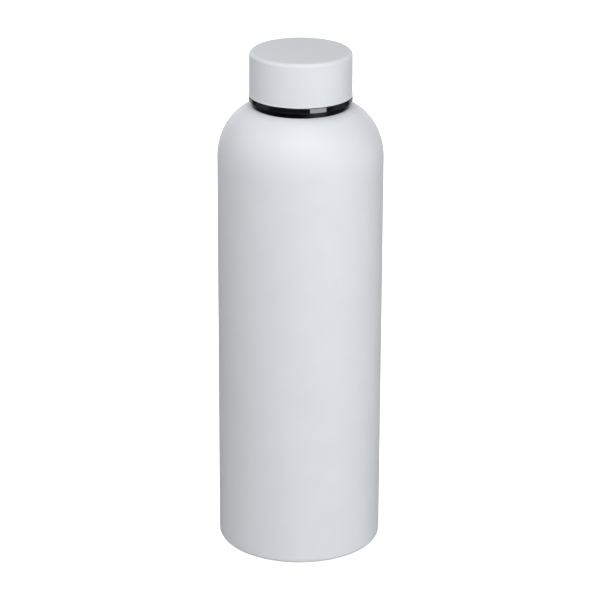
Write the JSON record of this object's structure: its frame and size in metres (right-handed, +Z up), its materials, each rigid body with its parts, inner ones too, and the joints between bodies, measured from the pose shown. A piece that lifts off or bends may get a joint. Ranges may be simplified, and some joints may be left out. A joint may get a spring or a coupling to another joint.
{
  "type": "insulated water bottle",
  "caption": "Double-walled vacuum water bottle with a plain round white body, a domed shoulder, a dark chromed collar and a flat screw cap.",
  "frame": {"origin": "centre of the bottle's foot, on the surface that it stands on", "axes": "+Z up along the bottle's axis; +X is the side where the neck's thread starts"},
  "size_m": [0.07, 0.07, 0.2189],
  "materials": {
    "white_powder_coat": "fine matte powder coat",
    "dark_chrome": "dark mirror plating",
    "pressed_steel": "satin, as pressed and electropolished",
    "getter_alloy": "sintered",
    "solder_glass": "fused glass, glossy and opaque",
    "adhesive": "cured adhesive",
    "copper_foil": "bright foil",
    "white_polypropylene": "fine moulded satin",
    "foam": "closed-cell foam",
    "silicone": "satin translucent silicone"
  },
  "bodies": {
    "bottle": {"outer_shell": "white_powder_coat", "outer_base": "pressed_steel", "vacuum_seal": "solder_glass", "base_cover": "white_powder_coat", "base_adhesive": "adhesive", "getter_cup": "pressed_steel", "getter_pellet": "getter_alloy", "inner_liner": "pressed_steel", "inner_base": "pressed_steel", "liner_foil": "copper_foil", "base_foil": "copper_foil", "neck_collar": "dark_chrome"},
    "cap_seals": {"lip_gasket": "silicone", "plug_seal": "silicone"},
    "cap": {"cap_cover": "white_powder_coat", "cap_core": "white_polypropylene", "cap_foam": "foam", "core_lid": "white_polypropylene", "cap_adhesive": "adhesive"}
  },
  "joints": [
    {"name": "cap_lift", "type": "slide", "parent": "bottle", "child": "cap_seals", "axis": [0, 0, 1], "range_m": [0, 0.024]},
    {"name": "cap_turn", "type": "hinge", "parent": "cap_seals", "child": "cap", "pos_m": [0, 0, 0.2003], "axis": [0, 0, 1], "range_deg": [0, 1080]}
  ],
  "couplings": [
    {"joint": "cap_lift", "follows": "cap_turn", "m_per_rad": 0.0012732}
  ]
}
